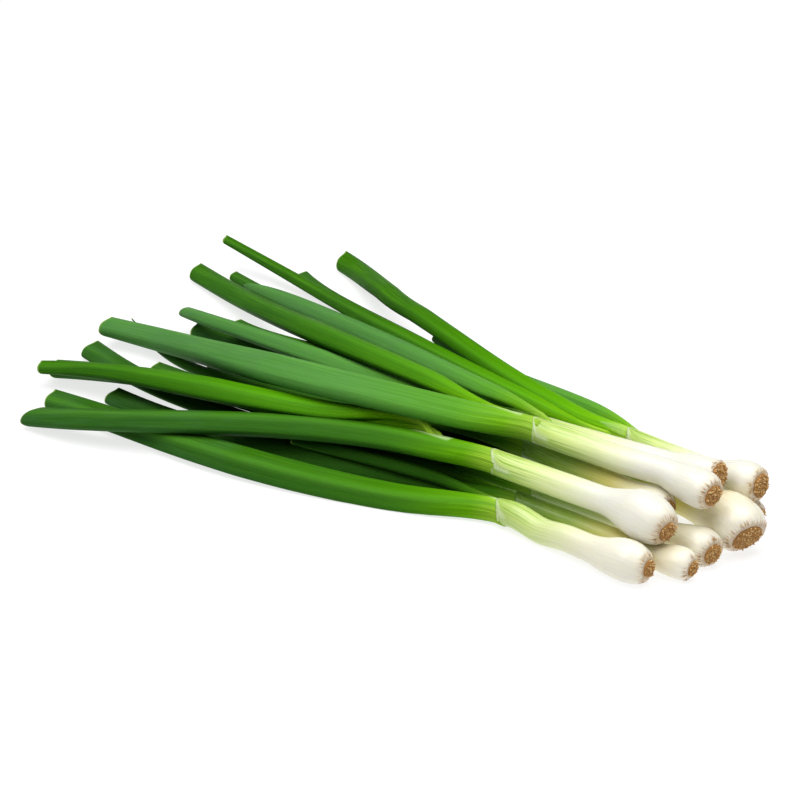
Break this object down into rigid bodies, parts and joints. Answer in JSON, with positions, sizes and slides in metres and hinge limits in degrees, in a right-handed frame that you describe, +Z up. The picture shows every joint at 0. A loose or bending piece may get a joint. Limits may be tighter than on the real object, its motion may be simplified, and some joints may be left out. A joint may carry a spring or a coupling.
{
  "type": "spring onion bunch",
  "caption": "Loose bunch of fresh spring onions lying flat: white bulbs with trimmed roots together at one end, hollow cut green leaves fanned out at the other.",
  "frame": {"origin": "centre of the bounding box in plan, at the level of the surface that the bunch lies on", "axes": "+X along the bunch towards the root ends, +Y across it from the front onion towards the rear ones, +Z up"},
  "size_m": [0.3504, 0.2238, 0.0341],
  "materials": {
    "bulb_skin": "smooth, moist, slightly glossy vegetable skin, white to pale green",
    "leaf_green": "satin green leaf with fine lengthwise veins",
    "leaf_waxy": "blue-green leaf with a dull waxy bloom",
    "root_brown": "dry matt fibres"
  },
  "bodies": {
    "root": {"onion_01_bulb": "bulb_skin", "onion_01_leaf_a": "leaf_green", "onion_01_leaf_b": "leaf_green", "onion_01_roots": "root_brown", "onion_02_bulb": "bulb_skin", "onion_02_leaf_a": "leaf_green", "onion_02_leaf_b": "leaf_green", "onion_02_leaf_c": "leaf_green", "onion_02_roots": "root_brown", "onion_03_bulb": "bulb_skin", "onion_03_leaf_a": "leaf_waxy", "onion_03_leaf_b": "leaf_green", "onion_03_leaf_c": "leaf_waxy", "onion_03_leaf_d": "leaf_waxy", "onion_03_roots": "root_brown", "onion_04_bulb": "bulb_skin", "onion_04_leaf_a": "leaf_green", "onion_04_leaf_b": "leaf_green", "onion_04_roots": "root_brown", "onion_05_bulb": "bulb_skin", "onion_05_leaf_a": "leaf_green", "onion_05_leaf_b": "leaf_green", "onion_05_leaf_c": "leaf_waxy", "onion_05_roots": "root_brown", "onion_06_bulb": "bulb_skin", "onion_06_leaf_a": "leaf_green", "onion_06_leaf_b": "leaf_green", "onion_06_roots": "root_brown", "onion_07_bulb": "bulb_skin", "onion_07_leaf_a": "leaf_green", "onion_07_leaf_b": "leaf_green", "onion_07_roots": "root_brown", "onion_08_bulb": "bulb_skin", "onion_08_leaf_a": "leaf_green", "onion_08_leaf_b": "leaf_green", "onion_08_roots": "root_brown", "onion_09_bulb": "bulb_skin", "onion_09_leaf_a": "leaf_green", "onion_09_leaf_b": "leaf_green", "onion_09_roots": "root_brown", "onion_10_bulb": "bulb_skin", "onion_10_leaf_a": "leaf_green", "onion_10_leaf_b": "leaf_green", "onion_10_roots": "root_brown"}
  },
  "joints": []
}
